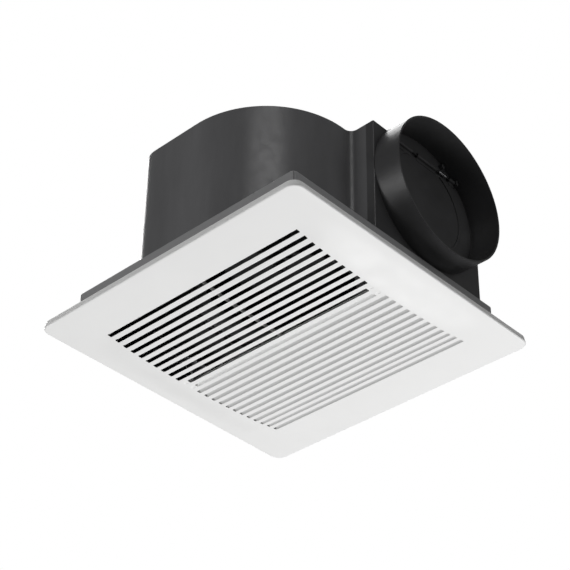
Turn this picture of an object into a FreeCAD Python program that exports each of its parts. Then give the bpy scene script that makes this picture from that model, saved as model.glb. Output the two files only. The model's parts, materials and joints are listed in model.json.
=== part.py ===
import FreeCAD, Part
import math
import os

# Ceiling extractor fan with a drop-down grille, a scroll housing and a round duct collar.
# Units are millimetres. +Z points up into the ceiling, z = 0 is the ceiling surface, and the
# origin is the centre of the four fixing holes. The duct leaves along -Y.

V = FreeCAD.Vector

# ---- driving dimensions --------------------------------------------------------------
PANEL = 320.0              # side of the square grille panel
PANEL_DEPTH = 7.0          # depth of the panel's rim below the ceiling
PANEL_CORNER = 11.0
PANEL_WALL = 2.5
FACE_BOW = 7.0             # how far the middle of the face bows down
SLOT_COUNT = 24
SLOT_PITCH = 9.66
SLOT_LENGTH = 236.8
SLOT_WIDTH = 4.6
BLADE_DEPTH = 9.0          # thickness of the slatted field
BLADE_TILT = 44.0          # degrees from vertical
FLIP_X = -SLOT_PITCH       # blades lean towards this line from both sides
SHORT_SLOTS = (10, 11)     # the two slots beside that line are shorter
SHORT_BY = 6.5             # at each end
RIB_T = 0.8                # middle rib that ties the blades
RIB_RECESS = 6.0
BLIND_SLOT = 11              # a groove that doesn't go through
GROOVE_DEPTH = 2.4

FRAME = 274.0              # side of the square base frame
FRAME_TOP = 33.6
FRAME_WALL = 2.5
FRAME_CORNER = 5.0
LIP = 304.0                # side of the lip that the ceiling screws go through
LIP_T = 2.5
LIP_CORNER = 8.0
FIX_X, FIX_Y, FIX_R = 290.0, 200.0, 2.5

BODY_TOP = 160.0
WALL = 2.5
COVER_T = 2.5
FAN_X, FAN_Y = -8.5, 0.0   # wheel axis
SCROLL_R = 129.5           # outer radius of the scroll's large arc
SCROLL_LEFT = -135.0
SCROLL_NEAR = -107.0       # flank beside the tongue
FLANK_R = 97.0             # radius between the left side and that flank
TONGUE_X = -29.5           # outlet's tongue side
OUTLET_FRONT = -135.0

DUCT_X, DUCT_Z = 45.7, 109.1
DUCT_R = 74.5
DUCT_BORE = 72.8
DUCT_END = -162.8
DUCT_STOP = 0.7            # shoulder at the collar's root that stops the duct
ADAPTOR_T = 9.0

FLAP_R = 68.5
FLAP_HINGE = 50.0          # hinge height above the duct axis
SEAT_R = 64.0
MOUTH_TOP = FLAP_HINGE - 9.0   # straight top edge of the mouth behind the flap
PIN_R = 1.0

WHEEL_R, WHEEL_IN, WHEEL_Z0 = 92.0, 76.0, 44.0
BLADE_COUNT = 42
BLADE_TOP = 120.0
INLET_R = 71.0
SHAFT_R = 4.0
RUN_GAP = 0.05             # radial clearance of a running fit

SPRING_Y = 123.0           # distance of each V spring from the middle
SPRING_Z = 2.0             # height of the coil's axis
SPRING_ANGLE = 64.0        # leg's angle from vertical with the grille shut
SPRING_LEG = 60.0
WIRE_R = 1.0

# ---- sizes that follow from them ----------------------------------------------------
OUTLET_RIGHT = FAN_X + SCROLL_R
ADAPTOR_BACK = OUTLET_FRONT + ADAPTOR_T
SEAT_Y = OUTLET_FRONT + 5.0            # face that the flap closes on
HINGE_Y = SEAT_Y - 3.0
HINGE_Z = DUCT_Z + FLAP_HINGE
FIELD_X = SLOT_PITCH * SLOT_COUNT / 2.0 + 3.0
FIELD_Y = SLOT_LENGTH / 2.0 - 1.0        # blades end just inside the slots' ends
PAD_TOP = -3.5                         # seats of the spring holders on the grille's back
DOME_TOP = BODY_TOP + 8.0              # raised cap over the motor
MOTOR_TOP = DOME_TOP - 12.0
MOTOR_SPLIT = MOTOR_TOP - 32.0
UPPER_BEARING = MOTOR_TOP - 11.0
LOWER_BEARING = MOTOR_TOP - 64.0
CORE_Z0, CORE_Z1 = MOTOR_TOP - 48.0, MOTOR_TOP - 20.0
LEAD_R = 2.3
LEAD_DROP = 152.0                      # where the motor lead turns down into the box
CABLE_R = 4.5
LEAD_Z = BODY_TOP + 2.8
MOTOR_SCREWS = [(FAN_X + 42 * math.cos(a), FAN_Y + 42 * math.sin(a))
                for a in map(math.radians, (30, 150, 270))]
BOX_SIDE, BOX_H = 46.0, 46.4           # wiring box in the corner behind the scroll
BOX_MIDDLE = 111.0
BOX_SCREWS = [(BOX_MIDDLE - 12, BOX_MIDDLE - 17.5), (BOX_MIDDLE + 3, BOX_MIDDLE + 17.5)]
CAPACITOR = (FAN_X, 92.0)               # lies on the cover beside the cap
CAPACITOR_SCREWS = [(CAPACITOR[0] + s * 20.0, CAPACITOR[1]) for s in (-1, 1)]

NODES = {}


# ---- helpers ------------------------------------------------------------------------
def box(x0, x1, y0, y1, z0, z1):
    return Part.makeBox(x1 - x0, y1 - y0, z1 - z0, V(x0, y0, z0))


def rod(r, start, end):
    a, b = V(*start), V(*end)
    return Part.makeCylinder(r, (b - a).Length, a, b - a)


def tube(r_out, r_in, start, end):
    return rod(r_out, start, end).cut(rod(r_in, start, end))


def fan_rod(r, z0, z1, dx=0.0, dy=0.0):
    return rod(r, (FAN_X + dx, FAN_Y + dy, z0), (FAN_X + dx, FAN_Y + dy, z1))


def fan_tube(r_out, r_in, z0, z1):
    return fan_rod(r_out, z0, z1).cut(fan_rod(r_in, z0, z1))


def rounded_wire(corners, z):
    """Closed wire through corners (x, y, radius), each rounded by its own radius."""
    count = len(corners)
    edges, last_end, first_start = [], None, None
    for i, (x, y, r) in enumerate(corners):
        p = V(x, y, z)
        before = V(corners[i - 1][0], corners[i - 1][1], z) - p
        after = V(corners[(i + 1) % count][0], corners[(i + 1) % count][1], z) - p
        before.normalize()
        after.normalize()
        half = before.getAngle(after) / 2.0
        reach = r / math.tan(half)
        start, end = p + before * reach, p + after * reach
        if last_end is not None and (start - last_end).Length > 1e-6:
            edges.append(Part.LineSegment(last_end, start).toShape())
        if r > 0:
            inward = before + after
            inward.normalize()
            middle = p + inward * (r / math.sin(half) - r)
            edges.append(Part.Arc(start, middle, end).toShape())
        first_start = first_start or start
        last_end = end
    if (first_start - last_end).Length > 1e-6:
        edges.append(Part.LineSegment(last_end, first_start).toShape())
    return Part.Wire(edges)


def prism(corners, z0, z1, inset=0.0):
    wire = rounded_wire(corners, z0)
    if inset:
        wire = wire.makeOffset2D(-inset)
    return Part.Face(wire).extrude(V(0, 0, z1 - z0))


def square(side, radius):
    h = side / 2.0
    return [(-h, -h, radius), (h, -h, radius), (h, h, radius), (-h, h, radius)]


def turned(profile, cx=FAN_X, cy=FAN_Y):
    """Solid of revolution about a vertical axis; profile holds (radius, z) points."""
    points = [V(cx + r, cy, z) for r, z in profile]
    wire = Part.makePolygon(points + points[:1])
    return Part.Face(wire).revolve(V(cx, cy, 0), V(0, 0, 1), 360)


def screw(head, direction, length, r=1.5, head_r=3.0, head_h=1.8):
    """Pan-head screw: head is the point under the head, direction is the way it drives in."""
    p, d = V(*head), V(*direction)
    top = Part.makeCylinder(head_r, head_h, p - d * head_h, d)
    shank = Part.makeCylinder(r, length, p, d)
    recess = box(-head_r * 0.6, head_r * 0.6, -0.35, 0.35, 0, 0.9)
    recess = recess.fuse(box(-0.35, 0.35, -head_r * 0.6, head_r * 0.6, 0, 0.9))
    turn = FreeCAD.Rotation(V(0, 0, 1), d)
    recess.Placement = FreeCAD.Placement(p - d * head_h, turn)
    return top.fuse(shank).cut(recess)


def screw_hole(head, direction, length, r=1.5):
    return Part.makeCylinder(r, length, V(*head), V(*direction))


def group(shapes):
    return Part.makeCompound(shapes)


def node(name, shape):
    NODES[name] = shape
    return shape


# ---- outlines -----------------------------------------------------------------------
def scroll_outline():
    """Plan of the scroll: a large arc, a flat flank, the tongue's hollow and the outlet."""
    right = FAN_X + SCROLL_R
    peak = SCROLL_R * math.tan(math.radians(67.5))
    shoulder = peak - right + SCROLL_LEFT
    return [(right, OUTLET_FRONT, 0), (right, peak, SCROLL_R), (SCROLL_LEFT, shoulder, 25.0),
            (SCROLL_LEFT, SCROLL_NEAR, FLANK_R), (TONGUE_X, SCROLL_NEAR, 8.0),
            (TONGUE_X, OUTLET_FRONT, 0)]


SCROLL = scroll_outline()


def boss_places():
    """Screw pillars inside the scroll wall, and the one at each side of the outlet."""
    reach = SCROLL_R - 6.0
    places = [(FAN_X + reach * math.cos(a), FAN_Y + reach * math.sin(a))
              for a in map(math.radians, (18, 72, 128))]
    flank = FLANK_R - 6.0
    corner = math.radians(225)
    places.append((SCROLL_LEFT + 6.0, 20.0))
    places.append((SCROLL_LEFT + FLANK_R + flank * math.cos(corner),
                   SCROLL_NEAR + FLANK_R + flank * math.sin(corner)))
    places.append((TONGUE_X + 6.0, OUTLET_FRONT + 22.0))
    places.append((OUTLET_RIGHT - 6.0, OUTLET_FRONT + 22.0))
    return places


BOSSES = boss_places()


# ---- grille -------------------------------------------------------------------------
def ease(value, start, end):
    """Falls smoothly from 1 at start to 0 at end."""
    t = min(max((value - start) / (end - start), 0.0), 1.0)
    return 1.0 - t * t * (3.0 - 2.0 * t)


def face_drop(x, y):
    x, y = abs(x), abs(y)
    bow = max(0.0, 1.0 - (x / 125.0) ** 2)
    return FACE_BOW * bow * ease(x, 85.0, 125.0) * ease(y, 118.0, 154.0)


def above_face(rise, reach=165.0, steps=30):
    """Everything above the bowed face lifted by rise, out to reach on each side."""
    rows = []
    for i in range(steps + 1):
        x = reach * (2.0 * i / steps - 1.0)
        row = []
        for j in range(steps + 1):
            y = reach * (2.0 * j / steps - 1.0)
            row.append(V(x, y, -PANEL_DEPTH + rise - face_drop(x, y)))
        rows.append(row)
    surface = Part.BSplineSurface()
    surface.interpolate(rows)
    return surface.toShape().extrude(V(0, 0, 40))


def slot_cutter(x, tilt, length):
    """One slot with round ends, cut along the tilt of the blades beside it."""
    r = SLOT_WIDTH / 2.0
    straight = length / 2.0 - r
    z = -PANEL_DEPTH - face_drop(x, 0)
    low, high = -4.0, BLADE_DEPTH + 4.0
    lean = math.tan(math.radians(tilt))
    base = x + low * lean
    corners = [(base - r, -straight - r, r * 0.999), (base + r, -straight - r, r * 0.999),
               (base + r, straight + r, r * 0.999), (base - r, straight + r, r * 0.999)]
    wire = rounded_wire(corners, z + low)
    return Part.Face(wire).extrude(V((high - low) * lean, 0, high - low))


def make_grille():
    tray = prism(square(PANEL, PANEL_CORNER), -PANEL_DEPTH, 0)
    rim = [e for e in tray.Edges if abs(e.BoundBox.ZMax + PANEL_DEPTH) < 1e-6]
    tray = tray.makeFillet(1.6, rim)
    inner = square(PANEL - 2 * PANEL_WALL, PANEL_CORNER - PANEL_WALL)
    tray = tray.cut(prism(inner, -PANEL_DEPTH + PANEL_WALL, 1))
    blades = box(-FIELD_X, FIELD_X, -FIELD_Y, FIELD_Y, -30, 30)
    bowed = box(-156, 156, -156, 156, -30, -PANEL_DEPTH + 1.0)
    tray = tray.fuse(above_face(-0.02).common(blades.fuse(bowed)))
    skin_back = above_face(PANEL_WALL).common(box(-150, 150, -150, 150, -30, 30).cut(blades))
    tray = tray.cut([above_face(BLADE_DEPTH).common(blades), skin_back])
    cutters = []
    for i in range(SLOT_COUNT):
        x = (i - (SLOT_COUNT - 1) / 2.0) * SLOT_PITCH
        length = SLOT_LENGTH - (2 * SHORT_BY if i in SHORT_SLOTS else 0)
        if i == BLIND_SLOT:
            cutters.append(slot_cutter(x, 0, length).cut(above_face(GROOVE_DEPTH)))
        else:
            cutters.append(slot_cutter(x, BLADE_TILT if x < FLIP_X else -BLADE_TILT, length))
    tray = tray.cut(cutters)
    rib = box(-FIELD_X, FIELD_X, -RIB_T / 2, RIB_T / 2, -30, 30).common(above_face(RIB_RECESS))
    rib = rib.cut(above_face(BLADE_DEPTH))
    pads = []
    for side in (-1, 1):
        y0, y1 = sorted((side * (SLOT_LENGTH / 2.0 + 0.6), side * (SPRING_Y + 6)))
        pads.append(box(-9, 9, y0, y1, -30, PAD_TOP).common(above_face(PANEL_WALL / 2)))
    tray = tray.fuse([rib] + pads)
    pilots = [screw_hole(p, d, 3, 1.1) for p, d in holder_screw_places()]
    return tray.cut(pilots).removeSplitter().Solids[0]


def holder_screw_places():
    return [((x, s * SPRING_Y, PAD_TOP + 1), (0, 0, -1)) for s in (-1, 1) for x in (-6.5, 6.5)]


def make_grille_springs():
    """Holders, pins and coils of the two V springs, and their legs left and right."""
    holders, pins, coils = [], [], []
    legs = {-1: [], 1: []}
    for s in (-1, 1):
        y = s * SPRING_Y
        base = box(-9, 9, y - 6, y + 6, PAD_TOP, PAD_TOP + 1)
        ears = [box(-4, 4, y + e - 0.5, y + e + 0.5, PAD_TOP + 1, SPRING_Z + 3.5) for e in (-5.5, 5.5)]
        holder = base.fuse(ears)
        holder = holder.cut(rod(1.5, (0, y - 9, SPRING_Z), (0, y + 9, SPRING_Z)))
        holders.append(holder.cut([screw_hole(p, d, 1, 1.1) for p, d in holder_screw_places()]))
        pins.append(rod(1.5, (0, y - 7.5, SPRING_Z), (0, y + 7.5, SPRING_Z)))
        coils.append(tube(3.9, 1.7, (0, y - 4.6, SPRING_Z), (0, y + 4.6, SPRING_Z)))
        for side in (-1, 1):
            legs[side].append(spring_leg(side, y + side * 2.5, s))
    node("spring_holders", group(holders))
    node("spring_holder_screws", group([screw(p, d, 3.0, 1.1, 2.0, 1.2)
                                        for p, d in holder_screw_places()]))
    node("spring_pins", group(pins))
    node("spring_coils", group(coils))
    node("spring_legs_left", group(legs[-1]))
    node("spring_legs_right", group(legs[1]))


def spring_leg(side, y, outward):
    """Straight wire leg leaning to one side, with a short hook at its end."""
    angle = math.radians(SPRING_ANGLE)
    lean = (side * math.sin(angle), math.cos(angle))
    start, end = 4.3, SPRING_LEG
    a = (lean[0] * start, y, SPRING_Z + lean[1] * start)
    b = (lean[0] * end, y, SPRING_Z + lean[1] * end)
    hook_end = (b[0], y + outward * 5.0, b[2])
    hook = rod(WIRE_R, b, hook_end)
    return rod(WIRE_R, a, b).fuse([Part.makeSphere(WIRE_R, V(*b)), hook])


# ---- base frame ---------------------------------------------------------------------
def catch_screw_places():
    return [((x, s * (FRAME / 2 - FRAME_WALL - 1.5), 23.0), (0, s, 0))
            for s in (-1, 1) for x in (-34.0, 34.0)]


def inlet_screw_places():
    return [((FAN_X + 88 * math.cos(a), FAN_Y + 88 * math.sin(a), FRAME_TOP + 2.0), (0, 0, -1))
            for a in map(math.radians, (45, 135, 225, 315))]


def body_screw_places():
    return [((x, y, FRAME_TOP - 2.5), (0, 0, 1)) for x, y in BOSSES]


def make_base_frame():
    skirt = prism(square(FRAME, FRAME_CORNER), -LIP_T, FRAME_TOP)
    top = [e for e in skirt.Edges if abs(e.BoundBox.ZMin - FRAME_TOP) < 1e-6]
    skirt = skirt.makeFillet(1.0, top)
    inside = prism(square(FRAME - 2 * FRAME_WALL, FRAME_CORNER - FRAME_WALL),
                   -LIP_T - 1, FRAME_TOP - FRAME_WALL)
    frame = skirt.cut(inside)
    frame = frame.cut(fan_rod(79.0, 20, 40))
    webs = []
    for i in range(12):
        a = 30.0 * i + 15.0
        web = box(82, 118, -0.8, 0.8, FRAME_TOP - 7, FRAME_TOP - FRAME_WALL)
        web.rotate(V(0, 0, 0), V(0, 0, 1), a)
        web.translate(V(FAN_X, FAN_Y, 0))
        webs.append(web)
    collar = fan_tube(83.0, 80.5, FRAME_TOP - 7, FRAME_TOP - FRAME_WALL)
    frame = frame.fuse(webs + [collar])
    holes = [screw_hole(p, d, 3.3, 1.3) for p, d in catch_screw_places()]
    holes += [screw_hole(p, d, 5, 1.3) for p, d in inlet_screw_places()]
    holes += [screw_hole(p, d, 3, 1.5) for p, d in body_screw_places()]
    holes += [rod(1.3, (x, y, 28), (x, y, 36)) for x, y in BOX_SCREWS]
    node("base_frame", frame.cut(holes).removeSplitter())


def make_flange():
    """Flat lip welded around the foot of the base frame, with the ceiling's screw holes."""
    lip = prism(square(LIP, LIP_CORNER), -LIP_T, 0).cut(prism(square(FRAME, FRAME_CORNER), -LIP_T - 1, 1))
    holes = [rod(FIX_R, (x, y, -LIP_T - 1), (x, y, 1))
             for x in (-FIX_X / 2, FIX_X / 2) for y in (-FIX_Y / 2, FIX_Y / 2)]
    node("ceiling_flange", lip.cut(holes))


def make_spring_catches():
    plates, screws = [], []
    inner = FRAME / 2 - FRAME_WALL
    for s in (-1, 1):
        y0, y1 = sorted((s * 112.0, s * inner))
        shelf = box(-44, 44, y0, y1, 13.0, 14.5)
        f0, f1 = sorted((s * (inner - 1.5), s * inner))
        flange = box(-44, 44, f0, f1, 14.5, 28.0)
        slot = box(-36, 36, s * SPRING_Y - 4, s * SPRING_Y + 4, 10, 20)
        plates.append(shelf.fuse(flange).cut(slot))
    for p, d in catch_screw_places():
        plates = [plate.cut(screw_hole(p, d, 3.3, 1.3)) for plate in plates]
        screws.append(screw(p, d, 3.3, 1.3, 2.6, 1.4))
    node("spring_catches", group(plates))
    node("catch_screws", group(screws))


# ---- scroll housing -----------------------------------------------------------------
def make_scroll():
    outer = prism(SCROLL, FRAME_TOP, BODY_TOP - COVER_T)
    inner = prism(SCROLL, FRAME_TOP - 1, BODY_TOP, WALL)
    past_outlet = box(-200, 200, -200, ADAPTOR_BACK, 0, 200)
    pillars = [rod(4.5, (x, y, FRAME_TOP), (x, y, BODY_TOP - COVER_T)) for x, y in BOSSES]
    walls = outer.cut(inner).fuse([p.common(outer) for p in pillars]).cut(past_outlet)
    holes = []
    for x, y in BOSSES:
        holes.append(rod(1.5, (x, y, FRAME_TOP - 1), (x, y, FRAME_TOP + 7.5)))
        holes.append(rod(1.5, (x, y, BODY_TOP - 11), (x, y, BODY_TOP)))
    node("scroll_housing", walls.cut(holes).removeSplitter())
    node("housing_screws", group([screw(p, d, 10.0, 1.5, 3.0, 1.6) for p, d in body_screw_places()]))


def outward(target, s, z, aside=0.0):
    """Point at distance s from the wheel's axis towards target, at height z."""
    dx, dy = target[0] - FAN_X, target[1] - FAN_Y
    length = math.hypot(dx, dy)
    ux, uy = dx / length, dy / length
    return (FAN_X + ux * s - uy * aside, FAN_Y + uy * s + ux * aside, z)


TO_BOX = (BOX_MIDDLE, BOX_MIDDLE)
CLIP_AT = 96.0
CLIP_HEAD = outward(TO_BOX, CLIP_AT, BODY_TOP + 1.4, 8.0)


def make_cover():
    plate = prism(SCROLL, BODY_TOP - COVER_T, BODY_TOP)
    plate = plate.cut(box(-200, 200, -200, ADAPTOR_BACK, 0, 200))
    dome = turned([(0, BODY_TOP), (58, BODY_TOP), (55, DOME_TOP - 2), (53, DOME_TOP), (0, DOME_TOP)])
    hollow = turned([(0, BODY_TOP - COVER_T - 1), (52.5, BODY_TOP - COVER_T - 1),
                     (52.5, DOME_TOP - 2.5), (0, DOME_TOP - 2.5)])
    ribs = []
    for i in range(8):
        a = 45.0 * i + 22.5
        rib = box(56, 112, -0.9, 0.9, BODY_TOP - 0.5, BODY_TOP + 3)
        rib.rotate(V(0, 0, 0), V(0, 0, 1), a)
        rib.translate(V(FAN_X, FAN_Y, 0))
        ribs.append(rib)
    cover = plate.fuse([dome] + ribs).cut(hollow)
    holes = [rod(1.5, (x, y, 150), (x, y, 165)) for x, y in BOSSES]
    holes += [rod(1.3, (x, y, 155), (x, y, 165)) for x, y in CAPACITOR_SCREWS]
    holes += [rod(2.0, (x, y, 150), (x, y, 175)) for x, y in MOTOR_SCREWS]
    holes += [rod(LEAD_R, outward(to, 45, LEAD_Z), outward(to, 62, LEAD_Z))
              for to in (TO_BOX, CAPACITOR)]
    holes.append(screw_hole(CLIP_HEAD, (0, 0, -1), 3.6, 1.1))
    node("top_cover", cover.cut(holes).removeSplitter())
    places = [((x, y, BODY_TOP), (0, 0, -1)) for x, y in BOSSES]
    node("cover_screws", group([screw(p, d, 10.0) for p, d in places]))


def make_inlet():
    z = FRAME_TOP
    throat = [(94, z), (94, z + 2), (82, z + 2), (77, z + 5.5), (73.4, z + 12), (73.0, z + 16.5),
              (INLET_R, z + 16.5), (INLET_R, z + 11.5), (73.5, z + 5.5), (77.5, z)]
    ring = turned(throat)
    ring = ring.cut([screw_hole(p, d, 3, 1.3) for p, d in inlet_screw_places()])
    node("inlet_ring", ring)
    node("inlet_screws", group([screw(p, d, 4.5, 1.3, 2.6, 1.5) for p, d in inlet_screw_places()]))


# ---- outlet -------------------------------------------------------------------------
def duct_rod(r, y0, y1):
    return rod(r, (DUCT_X, y0, DUCT_Z), (DUCT_X, y1, DUCT_Z))


def duct_box(x0, x1, y0, y1, z0, z1):
    """Box given from the duct's axis."""
    return box(DUCT_X + x0, DUCT_X + x1, y0, y1, DUCT_Z + z0, DUCT_Z + z1)


def make_adaptor():
    plate = box(TONGUE_X, OUTLET_RIGHT, OUTLET_FRONT, ADAPTOR_BACK, FRAME_TOP, BODY_TOP)
    upright = [e for e in plate.Edges if e.BoundBox.ZLength > 50 and e.BoundBox.YMax < OUTLET_FRONT + 1]
    plate = plate.makeFillet(1.2, upright)
    plate = plate.fuse([duct_rod(DUCT_R, DUCT_END, ADAPTOR_BACK),
                        duct_rod(DUCT_R + DUCT_STOP, OUTLET_FRONT, ADAPTOR_BACK)])
    plate = plate.cut(duct_rod(DUCT_BORE, DUCT_END - 1, SEAT_Y))
    mouth = duct_rod(SEAT_R, SEAT_Y - 1, ADAPTOR_BACK + 1)
    mouth = mouth.common(duct_box(-80, 80, SEAT_Y - 1, ADAPTOR_BACK + 1, -80, MOUTH_TOP))
    plate = plate.cut(mouth)
    lugs = []
    for s in (-1, 1):
        x0, x1 = sorted((s * 46.5, s * 49.5))
        lug = duct_box(x0, x1, HINGE_Y - 3, SEAT_Y, FLAP_HINGE - 3, FLAP_HINGE + 3)
        lugs.append(lug)
    tongues = []
    for x0, x1 in ((TONGUE_X + WALL + 0.1, TONGUE_X + WALL + 1.9),
                   (OUTLET_RIGHT - WALL - 1.9, OUTLET_RIGHT - WALL - 0.1)):
        for z in (60.0, 130.0):
            tongues.append(box(x0, x1, ADAPTOR_BACK - 0.1, ADAPTOR_BACK + 6, z - 8, z + 8))
    anchor = duct_rod(2.4, SEAT_Y - 4, SEAT_Y)
    anchor.translate(V(30.0, 0, 61.0))
    plate = plate.fuse(lugs + tongues + [anchor])
    pin = rod(PIN_R, (DUCT_X - 80, HINGE_Y, HINGE_Z), (DUCT_X + 80, HINGE_Y, HINGE_Z))
    pin_span = duct_box(-49.5, 49.5, HINGE_Y - 3, HINGE_Y + 3, 40, 60)
    node("outlet_adaptor", plate.cut(pin.common(pin_span)).removeSplitter())
    node("flap_pin", pin.common(pin_span))


def make_flap():
    y0, y1 = SEAT_Y - 2.5, SEAT_Y - 0.9
    disc = duct_rod(FLAP_R, y0, y1).common(duct_box(-80, 80, y0, y1, -80, FLAP_HINGE - 3.2))
    corners = [duct_box(x0, x1, y0 - 1, y1 + 1, MOUTH_TOP + 1.5, 60)
               for x0, x1 in ((-80, -45.5), (45.5, 80))]
    disc = disc.cut(corners)
    knuckles, arms = [], []
    for x0, x1 in ((-45.5, -18.0), (-10.0, 18.0), (38.0, 45.5)):
        knuckles.append(rod(2.3, (DUCT_X + x0, HINGE_Y, HINGE_Z), (DUCT_X + x1, HINGE_Y, HINGE_Z)))
        arms.append(duct_box(x0, x1, y0 - 0.4, y1, FLAP_HINGE - 6, FLAP_HINGE))
    ring = duct_rod(52, y0 - 1.0, y0).cut(duct_rod(50, y0 - 2, y1 + 1))
    ring = ring.common(duct_box(-80, 80, y0 - 1, y0, -80, FLAP_HINGE - 6))
    bore = rod(PIN_R + RUN_GAP, (DUCT_X - 60, HINGE_Y, HINGE_Z), (DUCT_X + 60, HINGE_Y, HINGE_Z))
    node("damper_flap", disc.fuse(knuckles + arms + [ring]).cut(bore).removeSplitter())
    seal = duct_rod(SEAT_R + 3.2, SEAT_Y - 0.6, SEAT_Y).cut(duct_rod(SEAT_R + 0.3, SEAT_Y - 1, SEAT_Y + 1))
    node("flap_seal", seal.common(duct_box(-80, 80, SEAT_Y - 1, SEAT_Y, -80, MOUTH_TOP)))
    x0, x1 = DUCT_X + 22.0, DUCT_X + 34.0
    coil = tube(2.2, PIN_R + 0.15, (x0, HINGE_Y, HINGE_Z), (x1, HINGE_Y, HINGE_Z))
    leg = rod(0.4, (x1 - 0.5, HINGE_Y + 1.6, HINGE_Z), (x1 - 0.5, HINGE_Y + 1.6, HINGE_Z + 9.0))
    node("flap_spring", coil.fuse(leg))


# ---- motor --------------------------------------------------------------------------
def make_motor():
    bush = [(SHAFT_R + RUN_GAP, 0), (9.0, 0), (9.0, 8.0), (SHAFT_R + RUN_GAP, 8.0)]
    for name, z in (("lower_bearing", LOWER_BEARING), ("upper_bearing", UPPER_BEARING)):
        node(name, turned([(r, z + h) for r, h in bush]))
    z0, z1, split = LOWER_BEARING - 1.5, MOTOR_TOP, MOTOR_SPLIT
    lower = turned([(6.0, z0), (13.0, z0), (42.0, z0 + 2.0), (46.0, z0 + 6.0), (46.0, split - 2),
                    (52.0, split - 2), (52.0, split), (44.0, split), (44.0, z0 + 7.0),
                    (41.0, z0 + 4.0), (11.0, z0 + 3.0), (11.0, LOWER_BEARING + 8), (9.0, LOWER_BEARING + 8),
                    (9.0, LOWER_BEARING), (6.0, LOWER_BEARING)])
    upper = turned([(44.0, split), (52.0, split), (52.0, split + 2), (46.0, split + 2),
                    (46.0, z1 - 4), (42.0, z1), (0, z1), (0, z1 - 2), (9.0, z1 - 2),
                    (9.0, UPPER_BEARING), (11.0, UPPER_BEARING), (11.0, z1 - 2.5),
                    (41.0, z1 - 2.5), (44.0, z1 - 5)])
    ties = []
    for i in range(3):
        a = math.radians(120 * i + 30)
        ties.append((FAN_X + 49 * math.cos(a), FAN_Y + 49 * math.sin(a)))
    tie_holes = [rod(1.5, (x, y, split - 5), (x, y, split + 5)) for x, y in ties]
    vents = [rod(2.5, (FAN_X + 28 * math.cos(a), FAN_Y + 28 * math.sin(a), z0 - 1),
                 (FAN_X + 28 * math.cos(a), FAN_Y + 28 * math.sin(a), z0 + 6))
             for a in map(math.radians, range(0, 360, 30))]
    node("motor_lower_shell", lower.cut(tie_holes + vents))
    node("motor_upper_shell", upper.cut(tie_holes))
    node("motor_tie_screws", group([screw((x, y, split + 2), (0, 0, -1), 6.0) for x, y in ties]))
    core = fan_tube(44.0, 24.5, CORE_Z0, CORE_Z1)
    slots = []
    for i in range(12):
        slot = box(26.5, 37.0, -3.0, 3.0, CORE_Z0 - 1, CORE_Z1 + 1)
        slot.rotate(V(0, 0, 0), V(0, 0, 1), 30.0 * i)
        slot.translate(V(FAN_X, FAN_Y, 0))
        slots.append(slot)
    node("stator_core", core.cut(slots))
    coils = []
    for z in (CORE_Z0 - 7.5, CORE_Z1):
        coils.append(turned([(27, z + 1), (28.5, z), (35, z), (37, z + 1), (37, z + 6.5),
                             (35, z + 7.5), (28.5, z + 7.5), (27, z + 6.5)]))
    conductors = []
    for i in range(12):
        bar = box(27.5, 36.0, -2.6, 2.6, CORE_Z0, CORE_Z1)
        bar.rotate(V(0, 0, 0), V(0, 0, 1), 30.0 * i)
        bar.translate(V(FAN_X, FAN_Y, 0))
        conductors.append(bar)
    node("stator_winding", coils[0].fuse(conductors + [coils[1]]))
    hanger = fan_tube(52.0, 12.0, MOTOR_TOP, MOTOR_TOP + 2)
    hanger = hanger.fuse(fan_tube(36, 30, MOTOR_TOP, DOME_TOP - 3))
    holes = [rod(3.0, (x, y, 140), (x, y, 175)) for x, y in MOTOR_SCREWS]
    holes += [rod(LEAD_R, outward(to, 28, LEAD_Z), outward(to, 40, LEAD_Z))
              for to in (TO_BOX, CAPACITOR)]
    node("motor_hanger", hanger.cut(holes))
    rubbers, screws = [], []
    for x, y in MOTOR_SCREWS:
        z = MOTOR_TOP + 2
        rubber = rod(5.0, (x, y, z), (x, y, DOME_TOP - 2.5)).cut(rod(2.0, (x, y, z - 1), (x, y, 175)))
        rubbers.append(rubber)
        screws.append(screw((x, y, DOME_TOP), (0, 0, -1), DOME_TOP - MOTOR_TOP, 2.0, 3.8, 2.2))
    node("motor_rubbers", group(rubbers))
    node("motor_screws", group(screws))


def blade(turn):
    """Thin forward-curved blade, an arc in plan, standing on the lower ring."""
    z, half = WHEEL_Z0 + 3, V(0, 0.6, 0)
    inner, outer = V(WHEEL_IN, 0, z), V(WHEEL_R - 0.8, 7.0, z)
    middle = V(WHEEL_IN + 8.6, 1.4, z)
    faces = [Part.Arc(inner + s, middle + s, outer + s).toShape() for s in (-half, half)]
    tips = [Part.LineSegment(p - half, p + half).toShape() for p in (inner, outer)]
    outline = Part.Wire([faces[0], tips[1], faces[1], tips[0]])
    solid = Part.Face(outline).extrude(V(0, 0, BLADE_TOP - z))
    solid.rotate(V(0, 0, 0), V(0, 0, 1), turn)
    solid.translate(V(FAN_X, FAN_Y, 0))
    return solid


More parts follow.
